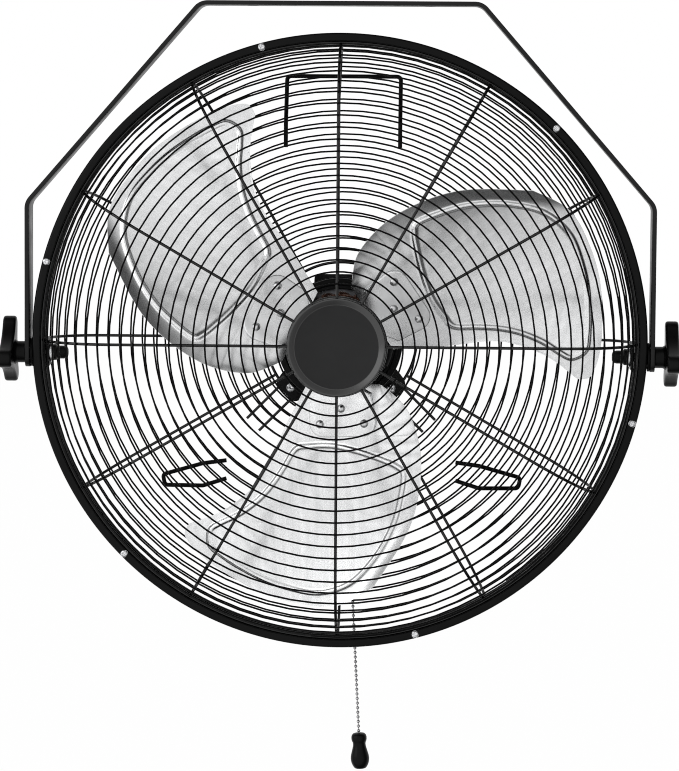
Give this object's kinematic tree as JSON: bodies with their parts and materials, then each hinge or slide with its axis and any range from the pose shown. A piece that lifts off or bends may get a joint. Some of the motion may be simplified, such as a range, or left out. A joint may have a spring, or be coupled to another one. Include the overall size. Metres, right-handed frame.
{
  "type": "wall mounted fan",
  "caption": "Wall mounted fan: a wire-guarded axial fan head that tilts in a strap yoke on clamping knobs, with motor, switch housing and bead pull chain.",
  "frame": {"origin": "middle of the yoke's top face, where the yoke is bolted to the wall or ceiling", "axes": "+Z out of that face, -Y the way that the air blows in the pictured pose, +X to the right as seen from the front"},
  "size_m": [0.6178, 0.1699, 0.7177],
  "materials": {
    "black_paint": "satin black powder coat",
    "guard_paint": "satin black dipped wire",
    "cap_paint": "dark satin",
    "black_plastic": "moulded, low gloss",
    "blade_aluminium": "lightly brushed",
    "fastener_steel": "zinc plated",
    "winding_copper": "enamelled copper",
    "motor_iron": "bare laminations",
    "chain_chrome": "nickel plated beads"
  },
  "bodies": {
    "yoke": {"yoke_bracket": "black_paint", "left_friction_washer": "black_plastic", "right_friction_washer": "black_plastic"},
    "head": {"rim_band": "black_paint", "rim_screw_1": "fastener_steel", "rim_screw_2": "fastener_steel", "rim_screw_3": "fastener_steel", "rim_screw_4": "fastener_steel", "rim_screw_5": "fastener_steel", "rim_screw_6": "fastener_steel", "front_guard_spiral": "guard_paint", "front_guard_spokes": "guard_paint", "rear_guard_spiral": "guard_paint", "rear_guard_spokes": "guard_paint", "centre_cap": "cap_paint", "cap_backing_plate": "black_paint", "left_pivot_bracket": "black_paint", "right_pivot_bracket": "black_paint", "left_pivot_bolt": "black_plastic", "right_pivot_bolt": "black_plastic", "left_bolt_washer": "fastener_steel", "right_bolt_washer": "fastener_steel", "motor_mount_plate": "black_paint", "motor_front_bell": "black_paint", "motor_rear_bell": "black_paint", "stator_core": "motor_iron", "stator_winding": "winding_copper", "front_bearing": "fastener_steel", "rear_bearing": "fastener_steel", "mount_screw_1": "fastener_steel", "mount_screw_2": "fastener_steel", "mount_screw_3": "fastener_steel", "switch_housing": "black_plastic", "pull_switch": "black_plastic", "cord_gland": "black_plastic", "capacitor": "motor_iron", "hanger_loop": "guard_paint", "left_cord_hook": "guard_paint", "right_cord_hook": "guard_paint"},
    "rotor": {"blade_spider": "blade_aluminium", "blade_1": "blade_aluminium", "blade_2": "blade_aluminium", "blade_3": "blade_aluminium", "rivet_1a": "fastener_steel", "rivet_1b": "fastener_steel", "rivet_1c": "fastener_steel", "rivet_2a": "fastener_steel", "rivet_2b": "fastener_steel", "rivet_2c": "fastener_steel", "rivet_3a": "fastener_steel", "rivet_3b": "fastener_steel", "rivet_3c": "fastener_steel", "rotor_shaft": "fastener_steel", "rotor_core": "motor_iron"},
    "left_knob": {"left_knob": "black_plastic"},
    "right_knob": {"right_knob": "black_plastic"},
    "switch_pull": {"pull_eyelet": "chain_chrome"},
    "chain": {"pull_chain": "chain_chrome", "pull_knob": "black_plastic"}
  },
  "joints": [
    {"name": "head_tilt", "type": "hinge", "parent": "yoke", "child": "head", "pos_m": [0, 0, -0.3205], "axis": [1, 0, 0], "range_deg": [-90, 90]},
    {"name": "rotor_spin", "type": "hinge", "parent": "head", "child": "rotor", "pos_m": [0, 0, -0.3085], "axis": [0, 1, 0], "continuous": true},
    {"name": "left_knob_turn", "type": "hinge", "parent": "head", "child": "left_knob", "pos_m": [-0.3, 0, -0.3205], "axis": [-1, 0, 0], "continuous": true},
    {"name": "right_knob_turn", "type": "hinge", "parent": "head", "child": "right_knob", "pos_m": [0.3, 0, -0.3205], "axis": [1, 0, 0], "continuous": true},
    {"name": "switch_travel", "type": "slide", "parent": "head", "child": "switch_pull", "axis": [0, 0, -1], "range_m": [0, 0.01], "stiffness_N_per_m": 900, "springref_m": -0.004},
    {"name": "chain_swing", "type": "hinge", "parent": "switch_pull", "child": "chain", "pos_m": [0.002, 0.07285, -0.3747], "axis": [1, 0, 0], "range_deg": [-3, 90]}
  ]
}
